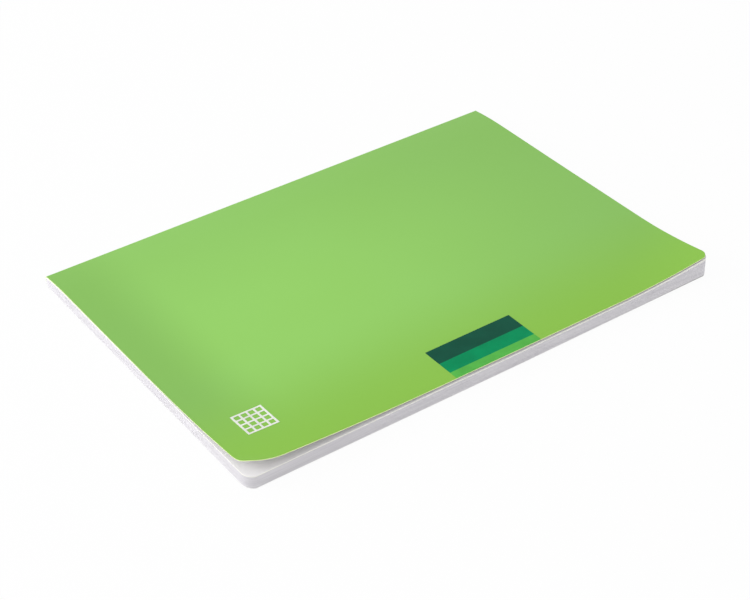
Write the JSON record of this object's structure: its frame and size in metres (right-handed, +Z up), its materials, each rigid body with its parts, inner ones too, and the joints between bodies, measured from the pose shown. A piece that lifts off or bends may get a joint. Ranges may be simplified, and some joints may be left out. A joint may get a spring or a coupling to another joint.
{
  "type": "grid notebook",
  "caption": "Soft card-covered notebook, saddle stitched with wire staples, lying closed with its front cover's corners curling up over grid-ruled pages.",
  "frame": {"origin": "under the middle of the back cover, on the surface that the notebook lies on", "axes": "+X from the spine to the fore edge, +Y from the foot of the pages to their head, +Z up through the front cover"},
  "size_m": [0.148, 0.21, 0.0121],
  "materials": {
    "printed_card": "satin laminated print",
    "paper": "matt, uncoated",
    "staple_wire": "bright wire",
    "dark_ink": "satin laminated print",
    "mid_ink": "satin laminated print",
    "light_ink": "satin laminated print",
    "white_ink": "satin laminated print"
  },
  "bodies": {
    "back_cover": {"back_cover": "printed_card"},
    "pages": {"page_block": "paper", "cover_spine": "printed_card", "head_staple": "staple_wire", "foot_staple": "staple_wire"},
    "front_cover": {"front_cover": "printed_card", "dark_stripe": "dark_ink", "mid_stripe": "mid_ink", "light_stripe": "light_ink", "lattice_mark": "white_ink"}
  },
  "joints": [
    {"name": "back_cover_fold", "type": "hinge", "parent": "back_cover", "child": "pages", "pos_m": [-0.074, 0, 0.00249], "axis": [0, -1, 0], "range_deg": [0, 175]},
    {"name": "front_cover_fold", "type": "hinge", "parent": "pages", "child": "front_cover", "pos_m": [-0.0731, 0, 0.00499], "axis": [0, -1, 0], "range_deg": [0, 175]}
  ]
}
